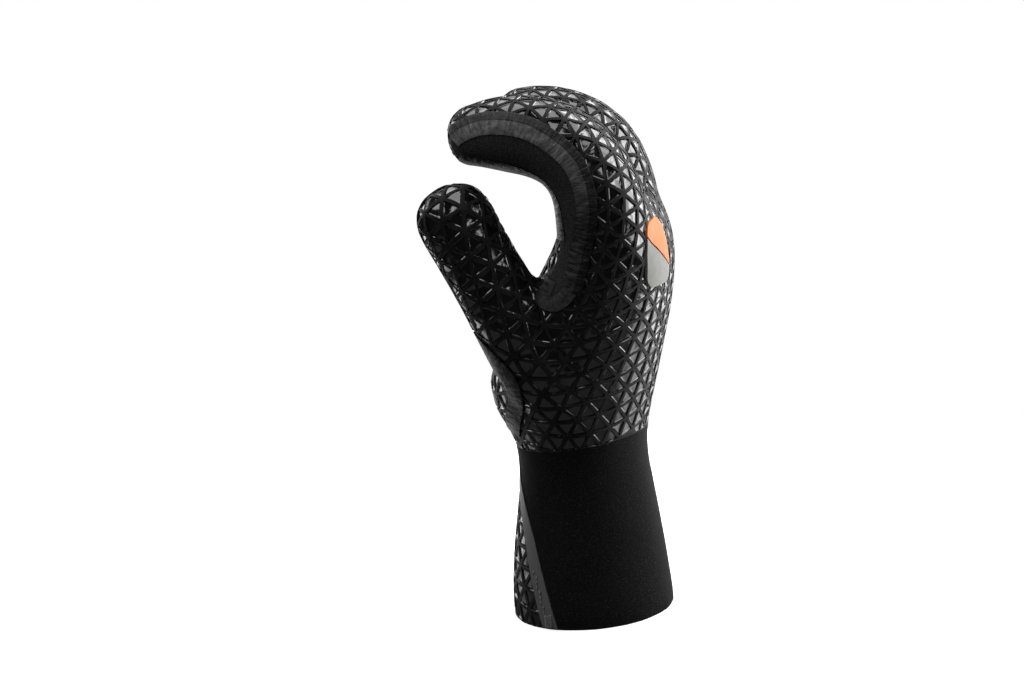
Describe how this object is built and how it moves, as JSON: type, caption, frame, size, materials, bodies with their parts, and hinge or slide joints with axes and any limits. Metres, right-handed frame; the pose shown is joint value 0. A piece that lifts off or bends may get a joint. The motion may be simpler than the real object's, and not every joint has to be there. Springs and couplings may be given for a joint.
{
  "type": "split-finger wetsuit mitt",
  "caption": "Right-hand neoprene wetsuit mitt with a thumb and two double-finger stalls, a textured rubber hand and palm, a smooth side gusset and a plain cuff with a textured wedge.",
  "frame": {"origin": "centre of the wrist opening, in the plane of the cuff's hem", "axes": "+Z from the hem up the cuff to the fingers, +X towards the back of the hand, -Y towards the thumb's side"},
  "size_m": [0.1005, 0.1022, 0.2304],
  "materials": {
    "grip": "gloss",
    "jersey": "matte",
    "tape": "satin",
    "badge": "satin"
  },
  "bodies": {
    "root": {"cuff": "jersey", "cuff_grip_wedge": "grip", "back_panel": "grip", "palm_panel": "grip", "index_gusset": "jersey", "split_gusset": "jersey", "index_seam_tape": "tape", "palm_seam_tape": "tape", "thumb_seam_tape": "tape", "cuff_tape_near": "tape", "cuff_tape_far": "tape", "back_badge": "badge"}
  },
  "joints": []
}
